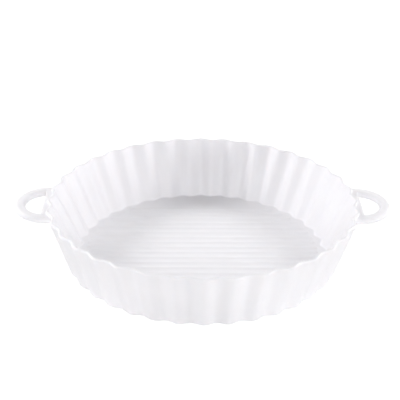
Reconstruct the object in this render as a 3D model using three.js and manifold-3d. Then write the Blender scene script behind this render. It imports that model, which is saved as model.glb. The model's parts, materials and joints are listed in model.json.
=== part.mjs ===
// A round silicone air fryer pan: a leaning fluted wall on a ribbed floor, a rounded rim lip,
// and two soft loop handles that flex where they leave the flanges moulded on the wall.
// Millimetres, +Z up. The origin is the middle of the underside, and the handles lie along X.
import * as THREE from 'three';
import { mergeVertices } from 'three/addons/utils/BufferGeometryUtils.js';
import Module from 'manifold-3d';

const wasm = await Module();
wasm.setup();

// Driving dimensions of the shell
const rimRadius = 103; // over the flute crests, at the top
const baseRadius = 90; // over the flute crests, at the underside
const panHeight = 40;
const wallThickness = 2; // under the lip
const footThickness = 7; // of the wall where it stands on the floor
const floorThickness = 2;
const fluteCount = 36;
const fluteDepth = 2.3; // from crest to valley
const lipHeight = 1.2;
const lipProud = 0.1; // beyond each face of the wall
const footRound = 1.5; // rounding of the inside corner between the wall and the floor

// Driving dimensions of the floor ribs
const ribCount = 18; // half of them on each side of the middle line
const shortestRib = 105; // length of the first and the last rib
const ribWidth = 3;
const ribHeight = 0.8;
const ribEndMargin = 1; // clear floor between the rib ends and the rounded corner

// Driving dimensions of the loop handles
const handleReach = 20.6; // from the rim crests to the tip of the loop
const handleWidth = 46;
const handleBand = 6.9; // width of the band, seen from above
const handleThickness = 4.8;
const handleEdgeFlat = 0.4; // flat left between the rounded edges of the band
const handleBelowLip = 0.7;
const flangeReach = 2; // from the rim crests to the straight edge of the flange
const clearance = 0.3; // between a piece and the neighbour that shapes it

// How finely the round forms are faceted
const stepsPerFlute = 8;
const lipSteps = 4;
const footSteps = 3;
const ribSteps = 6;
const loopSteps = 10;
const edgeSteps = 3;
const weldDistance = 1e-4;

const lipBottom = panHeight - lipHeight;
const flangeX = rimRadius + flangeReach;
const loopStartX = flangeX + clearance;
const handleZ = lipBottom - handleBelowLip - handleThickness / 2;

const silicone = { color: 0xeeedf0, roughness: 0.5, metalness: 0 };

function namedMesh(name, geometry) {
  const mesh = new THREE.Mesh(geometry, new THREE.MeshStandardMaterial(silicone));
  mesh.name = name;
  return mesh;
}

// Crest radius of the outer face at a height: the wall leans out in a straight line
function outerRadius(z) {
  return baseRadius + (rimRadius - baseRadius) * z / panHeight;
}

// Crest radius of the inner face at a height: the wall thickens from the lip down to the floor
function innerRadius(z) {
  const down = (lipBottom - z) / (lipBottom - floorThickness);
  return outerRadius(z) - wallThickness - (footThickness - wallThickness) * down;
}

// A lathe turned about Z whose off-axis points are drawn in by the flutes, with a crest on each axis
function flutedLathe(profile) {
  const geometry = new THREE.LatheGeometry(profile, fluteCount * stepsPerFlute);
  geometry.rotateX(Math.PI / 2);
  const position = geometry.attributes.position;
  for (let i = 0; i < position.count; i += 1) {
    const x = position.getX(i);
    const y = position.getY(i);
    const radius = Math.hypot(x, y);
    if (radius > 0) {
      const drawnIn = fluteDepth / 2 * (1 - Math.cos(fluteCount * Math.atan2(y, x)));
      const scale = (radius - drawnIn) / radius;
      position.setXY(i, x * scale, y * scale);
    }
  }
  return geometry;
}

function floorPanel() {
  return namedMesh('floor_panel', flutedLathe([
    new THREE.Vector2(0, 0),
    new THREE.Vector2(outerRadius(0), 0),
    new THREE.Vector2(outerRadius(floorThickness), floorThickness),
    new THREE.Vector2(0, floorThickness),
  ]));
}

// The wall stands on the floor, and its inside corner curves into the floor
function flutedWall() {
  const roundTop = floorThickness + footRound;
  const outerFoot = new THREE.Vector2(outerRadius(floorThickness), floorThickness);
  const outerTop = new THREE.Vector2(outerRadius(lipBottom), lipBottom);
  const innerTop = new THREE.Vector2(innerRadius(lipBottom), lipBottom);
  const innerCorner = new THREE.Vector2(innerRadius(floorThickness), floorThickness);
  const corner = new THREE.QuadraticBezierCurve(
    new THREE.Vector2(innerRadius(roundTop), roundTop),
    innerCorner,
    new THREE.Vector2(innerCorner.x - footRound, floorThickness),
  );
  const profile = [outerFoot, outerTop, innerTop, ...corner.getPoints(footSteps), outerFoot];
  return namedMesh('fluted_wall', flutedLathe(profile));
}

// The lip's section is half an ellipse standing on the wall's top edge
function rimLip() {
  const middle = outerRadius(lipBottom) - wallThickness / 2;
  const halfWidth = wallThickness / 2 + lipProud;
  const profile = [];
  for (let i = 0; i <= lipSteps; i += 1) {
    const angle = Math.PI * i / lipSteps;
    const radius = middle + halfWidth * Math.cos(angle);
    profile.push(new THREE.Vector2(radius, lipBottom + lipHeight * Math.sin(angle)));
  }
  profile.push(profile[0]);
  return namedMesh('rim_lip', flutedLathe(profile));
}

// Straight ribs with rounded tops, evenly spaced, each as long as its chord of the floor allows
function floorRibs() {
  const clearFloor = innerRadius(floorThickness) - footRound - fluteDepth;
  const fieldRadius = clearFloor - ribEndMargin;
  const outermost = Math.sqrt(fieldRadius ** 2 - (shortestRib / 2) ** 2);
  const pitch = 2 * outermost / (ribCount - 1);
  const section = new THREE.Shape();
  section.moveTo(-ribWidth / 2, 0);
  section.lineTo(ribWidth / 2, 0);
  section.absellipse(0, 0, ribWidth / 2, ribHeight, 0, Math.PI, false);
  const ribs = [];
  for (let i = 0; i < ribCount; i += 1) {
    const y = i * pitch - outermost;
    const length = 2 * Math.sqrt(fieldRadius ** 2 - y ** 2);
    const geometry = new THREE.ExtrudeGeometry(section, {
      depth: length,
      steps: 1,
      curveSegments: ribSteps,
      bevelEnabled: false,
    });
    geometry.translate(0, 0, -length / 2);
    geometry.rotateX(Math.PI / 2);
    geometry.rotateZ(Math.PI / 2);
    const number = String(i + 1).padStart(2, '0');
    const rib = namedMesh(`floor_rib_${number}`, geometry);
    rib.position.set(0, y, floorThickness);
    ribs.push(rib);
  }
  return ribs;
}

function toSolid(geometry) {
  const bare = geometry.clone();
  bare.deleteAttribute('normal');
  bare.deleteAttribute('uv');
  const welded = mergeVertices(bare, weldDistance);
  const triangles = [];
  for (let i = 0; i < welded.index.count; i += 3) {
    const corners = [0, 1, 2].map((k) => welded.index.getX(i + k));
    if (new Set(corners).size === 3) triangles.push(...corners);
  }
  return new wasm.Manifold(new wasm.Mesh({
    numProp: 3,
    vertProperties: Float32Array.from(welded.attributes.position.array),
    triVerts: Uint32Array.from(triangles),
  }));
}

function toGeometry(solid) {
  const mesh = solid.getMesh();
  const geometry = new THREE.BufferGeometry();
  geometry.setAttribute('position', new THREE.BufferAttribute(mesh.vertProperties, 3));
  geometry.setIndex(new THREE.BufferAttribute(mesh.triVerts, 1));
  geometry.computeVertexNormals();
  return geometry;
}

// The flange fills the flutes behind a loop: a bar cut to the wall's outer face
function handleFlange(name) {
  const bar = new THREE.BoxGeometry(flangeX, handleWidth, handleThickness);
  bar.translate(flangeX / 2, 0, handleZ);
  const wallEnvelope = flutedLathe([
    new THREE.Vector2(0, 0),
    new THREE.Vector2(outerRadius(0) + clearance, 0),
    new THREE.Vector2(outerRadius(panHeight) + clearance, panHeight),
    new THREE.Vector2(0, panHeight),
  ]);
  return namedMesh(name, toGeometry(toSolid(bar).subtract(toSolid(wallEnvelope))));
}

// The loop is a band between two ellipses about the rim crest, cut off short of the flange,
// with rounded edges, so that its ends turn freely about the line they flex on
function handleLoop(name) {
  const innerReach = handleReach - handleBand;
  const innerHalfWidth = handleWidth / 2 - handleBand;
  const outerStart = Math.acos((loopStartX - rimRadius) / handleReach);
  const innerStart = Math.acos((loopStartX - rimRadius) / innerReach);
  const outline = new THREE.Shape();
  outline.absellipse(rimRadius, 0, handleReach, handleWidth / 2, -outerStart, outerStart, false);
  outline.absellipse(rimRadius, 0, innerReach, innerHalfWidth, innerStart, -innerStart, true);
  const edgeRadius = (handleThickness - handleEdgeFlat) / 2;
  const geometry = new THREE.ExtrudeGeometry(outline, {
    depth: handleEdgeFlat,
    steps: 1,
    curveSegments: loopSteps,
    bevelThickness: edgeRadius,
    bevelSize: edgeRadius,
    bevelOffset: -edgeRadius,
    bevelSegments: edgeSteps,
  });
  geometry.translate(0, 0, handleZ - handleEdgeFlat / 2);
  return namedMesh(name, geometry);
}

function handleSide(side, turn) {
  const group = new THREE.Group();
  group.add(handleFlange(`${side}_handle_flange`), handleLoop(`${side}_handle`));
  group.rotation.z = turn;
  return group;
}

const pan = new THREE.Group();
pan.add(floorPanel(), flutedWall(), rimLip(), ...floorRibs());
pan.add(handleSide('right', 0), handleSide('left', Math.PI));

export default pan;
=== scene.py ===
# Soft white silicone pan for a fryer basket: fluted shell, ribbed floor and a loop handle at each side
import json
import math
import bmesh
import bpy
from mathutils import Matrix, Vector


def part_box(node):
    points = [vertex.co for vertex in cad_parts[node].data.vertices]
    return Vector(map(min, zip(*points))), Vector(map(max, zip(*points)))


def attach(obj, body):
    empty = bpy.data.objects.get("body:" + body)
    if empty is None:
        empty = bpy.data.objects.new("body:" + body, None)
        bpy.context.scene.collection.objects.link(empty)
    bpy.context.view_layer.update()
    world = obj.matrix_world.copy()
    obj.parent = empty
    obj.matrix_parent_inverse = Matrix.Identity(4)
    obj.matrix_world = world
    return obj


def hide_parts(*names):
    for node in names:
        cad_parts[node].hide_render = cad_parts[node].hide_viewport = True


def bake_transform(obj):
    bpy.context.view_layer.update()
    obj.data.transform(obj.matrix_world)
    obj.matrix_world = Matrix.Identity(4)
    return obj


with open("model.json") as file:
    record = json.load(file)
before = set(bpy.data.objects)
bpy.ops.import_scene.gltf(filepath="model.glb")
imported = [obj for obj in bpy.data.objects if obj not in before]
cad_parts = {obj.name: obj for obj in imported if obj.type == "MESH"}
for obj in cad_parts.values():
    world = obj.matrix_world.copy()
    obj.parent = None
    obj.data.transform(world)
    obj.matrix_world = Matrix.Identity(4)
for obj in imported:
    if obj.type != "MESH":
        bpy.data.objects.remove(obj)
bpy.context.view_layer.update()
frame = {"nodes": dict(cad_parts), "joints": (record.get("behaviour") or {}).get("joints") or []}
mm = 0.001
weldDistance = 0.002 * mm
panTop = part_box("rim_lip")[1].z / mm
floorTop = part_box("floor_panel")[1].z / mm
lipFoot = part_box("rim_lip")[0].z / mm
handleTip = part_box("right_handle")[1].x / mm
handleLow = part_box("right_handle")[0].z / mm
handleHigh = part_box("right_handle")[1].z / mm
print("frame loaded, pan top at", round(panTop, 2), "mm")


class Wire:
    # an output socket that takes part in sums, so node maths reads as plain expressions
    def __init__(self, tree, socket):
        self.tree = tree
        self.socket = socket

    @classmethod
    def node(cls, tree, kind, settings=None, values=None, out=0):
        made = tree.nodes.new(kind)
        for name, setting in (settings or {}).items():
            if name == "stops":
                for stop, (place, colour) in zip(made.color_ramp.elements, setting):
                    stop.position = place
                    stop.color = colour
            else:
                setattr(made, name, setting)
        for name, value in (values or {}).items():
            if isinstance(value, Wire):
                tree.links.new(value.socket, made.inputs[name])
            else:
                made.inputs[name].default_value = value
        return cls(tree, made.outputs[out]) if made.outputs else None

    def maths(self, operation, second=0.0):
        return Wire.node(self.tree, "ShaderNodeMath", {"operation": operation}, {0: self, 1: second})

    def mathsAfter(self, operation, first):
        return Wire.node(self.tree, "ShaderNodeMath", {"operation": operation}, {0: first, 1: self})

    def part(self, axis):
        return Wire.node(self.tree, "ShaderNodeSeparateXYZ", values={"Vector": self}, out=axis)

    def mapped(self, first, last, style="SMOOTHSTEP", low=0.0, high=1.0):
        return Wire.node(self.tree, "ShaderNodeMapRange", {"interpolation_type": style}, {
            "Value": self, "From Min": first, "From Max": last, "To Min": low, "To Max": high})

    def __add__(self, other):
        return self.maths("ADD", other)

    def __radd__(self, other):
        return self.mathsAfter("ADD", other)

    def __sub__(self, other):
        return self.maths("SUBTRACT", other)

    def __rsub__(self, other):
        return self.mathsAfter("SUBTRACT", other)

    def __mul__(self, other):
        return self.maths("MULTIPLY", other)

    def __rmul__(self, other):
        return self.mathsAfter("MULTIPLY", other)

    def __truediv__(self, other):
        return self.maths("DIVIDE", other)

    def __rtruediv__(self, other):
        return self.mathsAfter("DIVIDE", other)


# Silicone finish
siliconeLook = {
    "pale": (0.867, 0.856, 0.880, 1.0),
    "shaded": (0.846, 0.835, 0.861, 1.0),
    "mottlePerMetre": 28.0,
    "mottleDetail": 4.0,
    "mottleStops": (0.35, 0.65),
    "grainPerMetre": 2600.0,
    "peelPerMetre": 420.0,
    "fineDetail": 2.0,
    "noiseRoughness": 0.55,
    "roughness": 0.46,
    "roughnessSpread": 0.10,
    "grainDepth": 0.018 * mm,
    "peelDepth": 0.030 * mm,
    "scatterShare": 0.12,
    "scatterReach": 2.0 * mm,
    "scatterTint": (1.0, 0.85, 0.75),
    "refraction": 1.41,
}


def siliconeFinish(name, look):
    finish = bpy.data.materials.new(name)
    finish.use_nodes = True
    tree = finish.node_tree
    tree.nodes.clear()
    place = Wire.node(tree, "ShaderNodeTexCoord", out="Object")

    def noise(perMetre, detail):
        return Wire.node(tree, "ShaderNodeTexNoise", values={
            "Vector": place, "Scale": perMetre, "Detail": detail, "Roughness": look["noiseRoughness"]})

    mottle = noise(look["mottlePerMetre"], look["mottleDetail"])
    grain = noise(look["grainPerMetre"], look["fineDetail"])
    peel = noise(look["peelPerMetre"], look["fineDetail"])
    stops = list(zip(look["mottleStops"], (look["shaded"], look["pale"])))
    colour = Wire.node(tree, "ShaderNodeValToRGB", {"stops": stops}, {"Fac": mottle})
    roughness = look["roughness"] + (mottle + peel - 1.0) * look["roughnessSpread"]
    height = grain * look["grainDepth"] + peel * look["peelDepth"]
    bump = Wire.node(tree, "ShaderNodeBump", values={"Height": height, "Distance": 1.0, "Strength": 1.0})
    shader = Wire.node(tree, "ShaderNodeBsdfPrincipled", values={
        "Base Color": colour,
        "Roughness": roughness,
        "Normal": bump,
        "IOR": look["refraction"],
        "Subsurface Weight": look["scatterShare"],
        "Subsurface Radius": look["scatterTint"],
        "Subsurface Scale": look["scatterReach"],
    })
    Wire.node(tree, "ShaderNodeOutputMaterial", values={"Surface": shader})
    return finish


silicone = siliconeFinish("whiteSilicone", siliconeLook)
print("silicone finish made")


# Helpers for pieces grown by geometry nodes
def newTree(name, inputs):
    tree = bpy.data.node_groups.new(name, "GeometryNodeTree")
    tree.interface.new_socket(name="Geometry", in_out="OUTPUT", socket_type="NodeSocketGeometry")
    ids = {}
    for label, kind in inputs.items():
        ids[label] = tree.interface.new_socket(name=label, in_out="INPUT", socket_type=kind).identifier
    wires = {label: Wire.node(tree, "NodeGroupInput", out=label) for label in inputs}
    return tree, ids, wires


def endTree(tree, shaped, finish):
    # closes the skin, smooths its shading and gives it its finish
    closed = Wire.node(tree, "GeometryNodeMergeByDistance", values={
        "Geometry": shaped, "Distance": weldDistance})
    smooth = Wire.node(tree, "GeometryNodeSetShadeSmooth", values={"Geometry": closed})
    whole = Wire.node(tree, "GeometryNodeRealizeInstances", values={"Geometry": smooth})
    dressed = Wire.node(tree, "GeometryNodeSetMaterial", values={"Geometry": whole, "Material": finish})
    Wire.node(tree, "NodeGroupOutput", values={"Geometry": dressed})


def growMesh(piece, tree, ids, values):
    grower = piece.modifiers.new("grow", "NODES")
    grower.node_group = tree
    for label, value in values.items():
        grower[ids[label]] = value
    graph = bpy.context.evaluated_depsgraph_get()
    grown = bpy.data.meshes.new_from_object(piece.evaluated_get(graph))
    piece.modifiers.clear()
    piece.data = grown
    faceOutwards(grown)
    return piece


def faceOutwards(mesh):
    work = bmesh.new()
    work.from_mesh(mesh)
    bmesh.ops.recalc_face_normals(work, faces=work.faces)
    work.to_mesh(mesh)
    work.free()


def newPiece(name, mesh):
    piece = bpy.data.objects.new(name, mesh)
    bpy.context.scene.collection.objects.link(piece)
    return piece


def gridPlace(index, across):
    # row and column of a grid point, from its number
    row = (index / across).maths("FLOOR")
    return row, index - row * across


# Fluted shell: one closed skin of underside, wall, lip, inside corner and floor
shellSizes = {  # lengths in millimetres
    "rimRadius": 103.0,
    "baseRadius": 90.0,
    "wall": 2.0,
    "footWall": 7.0,
    "flutes": 36,
    "fluteDepth": 2.3,
    "stepsPerFlute": 16,
    "baseRound": 1.4,
    "lipProud": 0.1,
    "lipBlend": 0.5,
    "footRound": 1.0,
    "flatMargin": 14.0,
    "wallRings": 9,
    "roundSteps": 6,
}


def outerRadius(z):
    lean = (shellSizes["rimRadius"] - shellSizes["baseRadius"]) / panTop
    return shellSizes["baseRadius"] + lean * z


def innerRadius(z):
    # the wall thickens from the lip down to the floor
    down = (lipFoot - z) / (lipFoot - floorTop)
    return outerRadius(z) - shellSizes["wall"] - (shellSizes["footWall"] - shellSizes["wall"]) * down


def curvePoints(first, corner, last, steps):
    # a rounded corner from first to last, both ends included
    points = []
    for i in range(steps + 1):
        t = i / steps
        points.append(tuple(
            (1 - t) ** 2 * a + 2 * t * (1 - t) * b + t ** 2 * c for a, b, c in zip(first, corner, last)))
    return points


def shellProfile(size):
    # points of radius, share of the flutes and height, from the underside's middle to the floor's middle
    wall = size["wall"]
    rounding = size["baseRound"]
    steps = size["roundSteps"]
    profile = [(0.0, 0.0, 0.0), (outerRadius(0) - size["flatMargin"], 0.0, 0.0)]
    profile += curvePoints(
        (outerRadius(0) - rounding, 1.0, 0.0), (outerRadius(0), 1.0, 0.0),
        (outerRadius(rounding), 1.0, rounding), steps)
    lipStart = lipFoot - size["lipBlend"]
    for i in range(1, size["wallRings"] + 1):
        z = rounding + (lipStart - rounding) * i / size["wallRings"]
        profile.append((outerRadius(z), 1.0, z))
    middle = outerRadius(lipFoot) - wall / 2
    halfLip = wall / 2 + size["lipProud"]
    for i in range(2 * steps + 1):
        turn = math.pi * i / (2 * steps)
        z = lipFoot + (panTop - lipFoot) * math.sin(turn)
        profile.append((middle + halfLip * math.cos(turn), 1.0, z))
    roundTop = floorTop + size["footRound"]
    for i in range(size["wallRings"]):
        z = lipStart + (roundTop - lipStart) * i / size["wallRings"]
        profile.append((innerRadius(z), 1.0, z))
    inside = innerRadius(floorTop)
    profile += curvePoints(
        (innerRadius(roundTop), 1.0, roundTop), (inside, 1.0, floorTop),
        (inside - size["footRound"], 1.0, floorTop), steps)
    profile.append((inside - size["flatMargin"], 0.0, floorTop))
    profile.append((0.0, 0.0, floorTop))
    return profile


def flutedShell(size, finish):
    tree, ids, wires = newTree("growFlutedShell", {
        "Profile": "NodeSocketGeometry",
        "Flutes": "NodeSocketInt",
        "Flute Depth": "NodeSocketFloat",
        "Steps Around": "NodeSocketInt",
    })
    points = Wire.node(tree, "GeometryNodeAttributeDomainSize", values={
        "Geometry": wires["Profile"]}, out="Point Count")
    across = wires["Steps Around"] + 1
    skin = Wire.node(tree, "GeometryNodeMeshGrid", values={"Vertices X": points, "Vertices Y": across})
    row, column = gridPlace(Wire.node(tree, "GeometryNodeInputIndex"), across)
    position = Wire.node(tree, "GeometryNodeInputPosition")
    sampled = Wire.node(
        tree, "GeometryNodeSampleIndex", {"data_type": "FLOAT_VECTOR", "domain": "POINT"},
        {"Geometry": wires["Profile"], "Value": position, "Index": row})
    radius, share, height = (sampled.part(axis) for axis in "XYZ")
    angle = column * (2 * math.pi) / wires["Steps Around"]
    wave = angle * wires["Flutes"]
    drawnIn = share * wires["Flute Depth"] * 0.5 * (1 - wave.maths("COSINE"))
    fluted = radius - drawnIn
    place = Wire.node(tree, "ShaderNodeCombineXYZ", values={
        "X": fluted * angle.maths("COSINE"),
        "Y": fluted * angle.maths("SINE"),
        "Z": height,
    })
    shaped = Wire.node(tree, "GeometryNodeSetPosition", values={"Geometry": skin, "Position": place})
    endTree(tree, shaped, finish)
    profile = bpy.data.meshes.new("shellProfile")
    profile.from_pydata([(r * mm, share, z * mm) for r, share, z in shellProfile(size)], [], [])
    shell = growMesh(newPiece("fluted_shell", profile), tree, ids, {
        "Flutes": size["flutes"],
        "Flute Depth": size["fluteDepth"] * mm,
        "Steps Around": size["flutes"] * size["stepsPerFlute"],
    })
    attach(shell, "pan")
    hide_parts("floor_panel", "fluted_wall", "rim_lip")
    return shell


shell = flutedShell(shellSizes, silicone)
print("fluted shell grown,", len(shell.data.polygons), "faces")


# Floor ribs: low rounded ridges that run into the floor at their edges and ends
ribSizes = {  # lengths in millimetres; crown, shore and dipStart are shares of the way out from the ridge
    "foot": 5.8,
    "rise": 0.62,
    "endRun": 3.0,
    "crown": 0.05,
    "shore": 0.92,
    "dipStart": 0.80,
    "dip": 0.45,
    "root": 2.4,
    "edgeHair": 0.0001,
    "pointsAlong": 49,
    "pointsAround": 36,
}


def floorRibs(size, finish):
    names = sorted(n for n in frame["nodes"] if n.startswith("floor_rib_"))
    low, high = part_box(names[0])
    outermost = -(low.y + high.y) / 2
    tree, ids, wires = newTree("growFloorRibs", {
        "Rib Count": "NodeSocketInt",
        "Outermost": "NodeSocketFloat",
        "Field Radius": "NodeSocketFloat",
        "Foot Width": "NodeSocketFloat",
        "Rib Height": "NodeSocketFloat",
        "Floor Height": "NodeSocketFloat",
    })
    pitch = 2 * wires["Outermost"] / (wires["Rib Count"] - 1)
    start = Wire.node(tree, "ShaderNodeCombineXYZ", values={"Y": 0 - wires["Outermost"]})
    step = Wire.node(tree, "ShaderNodeCombineXYZ", values={"Y": pitch})
    lines = Wire.node(tree, "GeometryNodeMeshLine", {"mode": "OFFSET", "count_mode": "TOTAL"}, {
        "Count": wires["Rib Count"], "Start Location": start, "Offset": step})
    ribY = Wire.node(tree, "GeometryNodeInputPosition").part("Y")
    lines = Wire.node(
        tree, "GeometryNodeStoreNamedAttribute", {"data_type": "FLOAT", "domain": "POINT"},
        {"Geometry": lines, "Name": "ribLine", "Value": ribY})
    across = size["pointsAround"] + 1
    strip = Wire.node(tree, "GeometryNodeMeshGrid", values={
        "Vertices X": size["pointsAlong"], "Vertices Y": across})
    spread = Wire.node(tree, "GeometryNodeInstanceOnPoints", values={"Points": lines, "Instance": strip})
    strips = Wire.node(tree, "GeometryNodeRealizeInstances", values={"Geometry": spread})
    index = Wire.node(tree, "GeometryNodeInputIndex")
    row, column = gridPlace(index.maths("FLOORED_MODULO", float(size["pointsAlong"] * across)), across)
    lineY = Wire.node(tree, "GeometryNodeInputNamedAttribute", {"data_type": "FLOAT"}, {"Name": "ribLine"})
    halfSquared = wires["Field Radius"] * wires["Field Radius"] - lineY * lineY
    half = halfSquared.maths("SQRT")
    turn = (row / (size["pointsAlong"] - 1) - 0.5) * math.pi
    x = half * turn.maths("SINE")
    fromEnd = half - x.maths("ABSOLUTE")
    nearEnd = 1 - fromEnd.mapped(0.0, size["endRun"] * mm, "LINEAR")
    around = column / size["pointsAround"] - 0.5  # over the top as far as 0, then back underneath
    side = 1 - 4 * around.maths("ABSOLUTE")
    away = (side * side + nearEnd * nearEnd).maths("SQRT")
    ridge = 1 - away.mapped(size["crown"], size["shore"])
    below = away.mapped(size["dipStart"], 1.0, "LINEAR")
    top = wires["Rib Height"] * ridge - below * below * (size["dip"] * mm)
    thick = (1 - side * side) * (1 - nearEnd * nearEnd) * (size["root"] * mm)
    isTop = around.maths("LESS_THAN", size["edgeHair"])
    place = Wire.node(tree, "ShaderNodeCombineXYZ", values={
        "X": x,
        "Y": lineY + side * wires["Foot Width"] * 0.5,
        "Z": wires["Floor Height"] + top - (1 - isTop) * thick,
    })
    shaped = Wire.node(tree, "GeometryNodeSetPosition", values={"Geometry": strips, "Position": place})
    endTree(tree, shaped, finish)
    ribs = growMesh(newPiece("floor_ribs", bpy.data.meshes.new("ribStart")), tree, ids, {
        "Rib Count": len(names),
        "Outermost": outermost,
        "Field Radius": math.hypot(outermost, high.x),
        "Foot Width": size["foot"] * mm,
        "Rib Height": size["rise"] * mm,
        "Floor Height": floorTop * mm,
    })
    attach(ribs, "pan")
    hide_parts(*names)
    return ribs


ribs = floorRibs(ribSizes, silicone)
print("floor ribs grown,", len(ribs.data.polygons), "faces")


# Loop handles: a soft band with a web in the flutes behind it, melted together and smoothed
handleSizes = {  # lengths in millimetres
    "band": 6.9,
    "width": 46.0,
    "boxiness": 2.4,
    "rootFlare": 0.30,
    "embed": 1.0,
    "armSteps": 8,
    "webReach": 2.0,
    "webFlare": 0.9,
    "webSlim": 0.3,
    "webNose": 0.5,
    "webCrown": 0.7,
    "bowSteps": 64,
    "sides": 28,
    "webSteps": 60,
    "meltVoxel": 0.38,
    "smoothing": 7,
    "smoothFactor": 0.5,
    "wallRounds": 6,
    "bendRun": 7.0,
}


def wallFace(y, z):
    # X of the wall's outer face on the right, at a given Y and height, closed in on round by round
    radius = outerRadius(z)
    x = radius
    for _ in range(handleSizes["wallRounds"]):
        angle = math.atan2(y, x)
        drawnIn = shellSizes["fluteDepth"] / 2 * (1 - math.cos(shellSizes["flutes"] * angle))
        x = math.sqrt((radius - drawnIn) ** 2 - y ** 2)
    return x


def power(value, exponent):
    return math.copysign(abs(value) ** exponent, value)


def closeRings(work, rings):
    # skins a row of closed rings and caps both ends
    made = [[work.verts.new(p) for p in ring] for ring in rings]
    count = len(made[0])
    for a, b in zip(made, made[1:]):
        for i in range(count):
            work.faces.new((a[i], a[(i + 1) % count], b[(i + 1) % count], b[i]))
    work.faces.new(list(reversed(made[0])))
    work.faces.new(made[-1])


def bandRings(size):
    # rings from one root to the other: an arm out of the wall, half an ellipse, and the arm back in
    crest = shellSizes["rimRadius"]
    reach = handleTip - crest - size["band"] / 2
    halfSpan = size["width"] / 2 - size["band"] / 2
    middleZ = (handleLow + handleHigh) / 2
    halfThick = (handleHigh - handleLow) / 2
    bow = size["bowSteps"]
    arm = size["armSteps"]
    stations = [(-math.pi / 2, i / arm) for i in range(arm)]
    stations += [(math.pi * (i / bow - 0.5), 1.0) for i in range(bow + 1)]
    stations += [(math.pi / 2, 1 - i / arm) for i in range(1, arm + 1)]
    rings = []
    for turn, fromWall in stations:
        sideways = Vector((halfSpan * math.cos(turn), reach * math.sin(turn))).normalized()
        swell = 1 + size["rootFlare"] * (1 - fromWall) ** 2
        ring = []
        for k in range(size["sides"]):
            a = 2 * math.pi * k / size["sides"]
            off = power(math.cos(a), 2 / size["boxiness"]) * size["band"] / 2 * swell
            z = middleZ + power(math.sin(a), 2 / size["boxiness"]) * halfThick * swell
            y = halfSpan * math.sin(turn) + sideways.y * off
            free = crest + reach * math.cos(turn) + sideways.x * off
            rooted = wallFace(y, z) - size["embed"]
            ring.append(Vector((rooted + (free - rooted) * fromWall, y, z)) * mm)
        rings.append(ring)
    return rings


def webRings(size):
    # rings along the web, each from inside the wall out to the web's straight edge
    face = shellSizes["rimRadius"] + size["webReach"]
    middleZ = (handleLow + handleHigh) / 2
    halfThick = (handleHigh - handleLow) / 2
    halfSpan = size["width"] / 2 - size["band"] / 2
    rings = []
    for i in range(size["webSteps"] + 1):
        y = halfSpan * (2 * i / size["webSteps"] - 1)
        root = wallFace(y, middleZ) - size["embed"]
        ring = []
        for k in range(size["sides"]):
            a = 2 * math.pi * k / size["sides"]
            out = (1 + power(math.cos(a), size["webNose"])) / 2
            thick = halfThick - size["webSlim"] + size["webFlare"] * (1 - out) ** 2
            z = middleZ + power(math.sin(a), size["webCrown"]) * thick
            ring.append(Vector((root + (face - root) * out, y, z)) * mm)
        rings.append(ring)
    return rings


def loopHandle(name, turn, body, nodes, size, finish):
    work = bmesh.new()
    closeRings(work, bandRings(size))
    closeRings(work, webRings(size))
    bmesh.ops.recalc_face_normals(work, faces=work.faces)
    bmesh.ops.rotate(work, verts=work.verts, matrix=Matrix.Rotation(turn, 3, "Z"))
    mesh = bpy.data.meshes.new(name)
    work.to_mesh(mesh)
    work.free()
    handle = newPiece(name, mesh)
    melt = handle.modifiers.new("melt", "REMESH")
    melt.mode = "VOXEL"
    melt.voxel_size = size["meltVoxel"] * mm
    melt.use_smooth_shade = True
    ease = handle.modifiers.new("ease", "SMOOTH")
    ease.factor = size["smoothFactor"]
    ease.iterations = size["smoothing"]
    graph = bpy.context.evaluated_depsgraph_get()
    melted = bpy.data.meshes.new_from_object(handle.evaluated_get(graph))
    handle.modifiers.clear()
    handle.data = melted
    melted.materials.clear()
    melted.materials.append(finish)
    side = math.cos(turn)
    pivot = next(Vector(j["pos_m"]) for j in frame["joints"] if j["child"] == body)
    run = Vector((side * size["bendRun"] / 2 * mm, 0, 0))
    pivot - run
    pivot + run
    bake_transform(handle)
    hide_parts(*nodes)
    return handle


for sideName, turn in (("right", 0.0), ("left", math.pi)):
    nodes = (sideName + "_handle", sideName + "_handle_flange")
    handle = loopHandle(sideName + "_loop", turn, sideName + "_handle", nodes, handleSizes, silicone)
    print(sideName, "loop made,", len(handle.data.polygons), "faces")


# Studio: pale table, soft boxes round the pan and a low glow from both sides
studio = {  # lengths in metres
    "floorHalf": 4.0,
    "frontPaint": 0.86,
    "backPaint": 0.48,
    "paintFrom": -0.06,
    "paintTo": 0.08,
    "tableGlow": 0.12,
    "seenPaint": 0.24,
    "nearGlow": 0.84,
    "farGlow": 1.00,
    "fadeFrom": 0.30,
    "fadeTo": 0.90,
    "sideGlow": 0.60,
    "horizonFall": 4.0,
    "boxDistance": 1.2,
    "aimHeight": 0.02,
    # bearing goes round from the front to the right, and both angles are in degrees
    "boxes": {
        "frontBox": {"bearing": 0, "elevation": 38, "size": 0.8, "watts": 9.0},
        "leftBackBox": {"bearing": 240, "elevation": 30, "size": 0.3, "watts": 8.0},
        "rightBackBox": {"bearing": 120, "elevation": 32, "size": 0.3, "watts": 5.8},
        "backBox": {"bearing": 180, "elevation": 41, "size": 0.3, "watts": 1.7},
        "rightLowBox": {"bearing": 75, "elevation": 8, "size": 0.32, "watts": 4.3},
        "leftLowBox": {"bearing": 280, "elevation": 7, "size": 0.3, "watts": 2.8},
    },
}


def seenByEye(tree):
    # 1 for what the camera sees straight on, in a mirror or through glass
    rays = [Wire.node(tree, "ShaderNodeLightPath", out=name) for name in (
        "Is Camera Ray", "Is Glossy Ray", "Is Transmission Ray")]
    return (rays[0] + rays[1] + rays[2]).maths("MINIMUM", 1.0)


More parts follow.
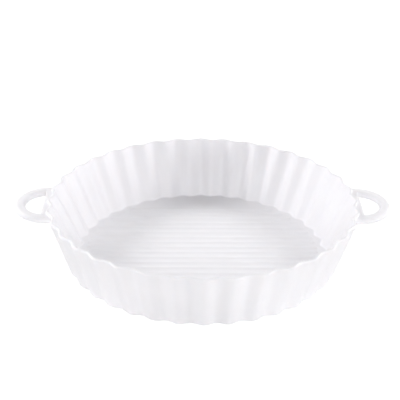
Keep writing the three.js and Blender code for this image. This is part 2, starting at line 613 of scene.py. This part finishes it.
def paleFloor(size):
    # pale to the eye, and for the light it gives paler before the pan than behind it
    mesh = bpy.data.meshes.new("paleFloor")
    half = size["floorHalf"]
    corners = [(-half, -half, 0), (half, -half, 0), (half, half, 0), (-half, half, 0)]
    mesh.from_pydata(corners, [], [(0, 1, 2, 3)])
    floor = newPiece("pale_floor", mesh)
    paint = bpy.data.materials.new("paleFloorPaint")
    paint.use_nodes = True
    tree = paint.node_tree
    tree.nodes.clear()
    place = Wire.node(tree, "ShaderNodeTexCoord", out="Object")
    away = Wire.node(tree, "ShaderNodeVectorMath", {"operation": "LENGTH"}, {0: place}, out="Value")
    strength = away.mapped(size["fadeFrom"], size["fadeTo"], low=size["nearGlow"], high=size["farGlow"])
    behind = place.part("Y")
    shade = behind.mapped(size["paintFrom"], size["paintTo"], low=size["frontPaint"], high=size["backPaint"])
    plain = Wire.node(tree, "ShaderNodeBsdfDiffuse", values={"Color": shade})
    dim = Wire.node(tree, "ShaderNodeBsdfDiffuse", values={"Color": (size["seenPaint"],) * 3 + (1,)})
    lit = Wire.node(tree, "ShaderNodeEmission", values={"Color": (1, 1, 1, 1), "Strength": size["tableGlow"]})
    white = Wire.node(tree, "ShaderNodeEmission", values={"Color": (1, 1, 1, 1), "Strength": strength})
    lighting = Wire.node(tree, "ShaderNodeAddShader", values={0: plain, 1: lit})
    seen = Wire.node(tree, "ShaderNodeAddShader", values={0: dim, 1: white})
    mixed = Wire.node(tree, "ShaderNodeMixShader", values={0: seenByEye(tree), 1: lighting, 2: seen})
    Wire.node(tree, "ShaderNodeOutputMaterial", values={"Surface": mixed})
    mesh.materials.append(paint)


def whiteRoom(size):
    # white to the eye, and for the light it gives bright low at both sides and dark overhead
    world = bpy.data.worlds.new("whiteRoom")
    bpy.context.scene.world = world
    world.use_nodes = True
    tree = world.node_tree
    tree.nodes.clear()
    looking = Wire.node(tree, "ShaderNodeTexCoord", out="Generated")
    across = looking.part("X")
    low = (1 - looking.part("Z").maths("MAXIMUM")).maths("POWER", size["horizonFall"])
    glow = size["sideGlow"] * across * across * low
    seen = seenByEye(tree)
    sky = Wire.node(tree, "ShaderNodeBackground", values={
        "Color": (1, 1, 1, 1), "Strength": seen + (1 - seen) * glow})
    Wire.node(tree, "ShaderNodeOutputWorld", values={"Surface": sky})


def softBox(name, box, size):
    lamp = bpy.data.lights.new(name, "AREA")
    lamp.shape = "SQUARE"
    lamp.size = box["size"]
    lamp.energy = box["watts"]
    stand = bpy.data.objects.new(name, lamp)
    bpy.context.scene.collection.objects.link(stand)
    bearing = math.radians(box["bearing"])
    rise = math.radians(box["elevation"])
    outward = Vector((
        math.sin(bearing) * math.cos(rise), -math.cos(bearing) * math.cos(rise), math.sin(rise)))
    stand.location = outward * size["boxDistance"] + Vector((0, 0, size["aimHeight"]))
    stand.rotation_euler = (-outward).to_track_quat("-Z", "Y").to_euler()
    stand.visible_camera = False


paleFloor(studio)
whiteRoom(studio)
for boxName, box in studio["boxes"].items():
    softBox(boxName, box, studio)
print("studio set")


# Camera at the photograph's viewpoint
cameraSizes = {  # lengths in millimetres, angles in degrees
    "distance": 702.5,
    "elevation": 26.6,
    "sideStep": -13.2,
    "focalPixels": 1066.0,
    "framePixels": 400,
    "rimCentreX": 202.4,
    "rimCentreY": 199.4,
    "roll": 0.2,
    "sensor": 36.0,
}


def setCamera(size):
    lens = bpy.data.cameras.new("eye")
    lens.sensor_width = size["sensor"]
    lens.lens = size["focalPixels"] * size["sensor"] / size["framePixels"]
    axisX = size["rimCentreX"] + size["focalPixels"] * size["sideStep"] / size["distance"]
    lens.shift_x = 0.5 - axisX / size["framePixels"]
    lens.shift_y = size["rimCentreY"] / size["framePixels"] - 0.5
    eye = bpy.data.objects.new("eye", lens)
    bpy.context.scene.collection.objects.link(eye)
    tilt = math.radians(size["elevation"])
    ahead = Vector((0, math.cos(tilt), -math.sin(tilt)))
    rimCentre = Vector((0, 0, panTop))
    eye.location = (rimCentre - ahead * size["distance"] + Vector((size["sideStep"], 0, 0))) * mm
    level = Matrix.Rotation(math.pi / 2 - tilt, 4, "X")
    eye.rotation_euler = (level @ Matrix.Rotation(math.radians(size["roll"]), 4, "Z")).to_euler()
    bpy.context.scene.camera = eye


setCamera(cameraSizes)
bpy.context.scene.view_settings.view_transform = "Standard"
print("camera set")
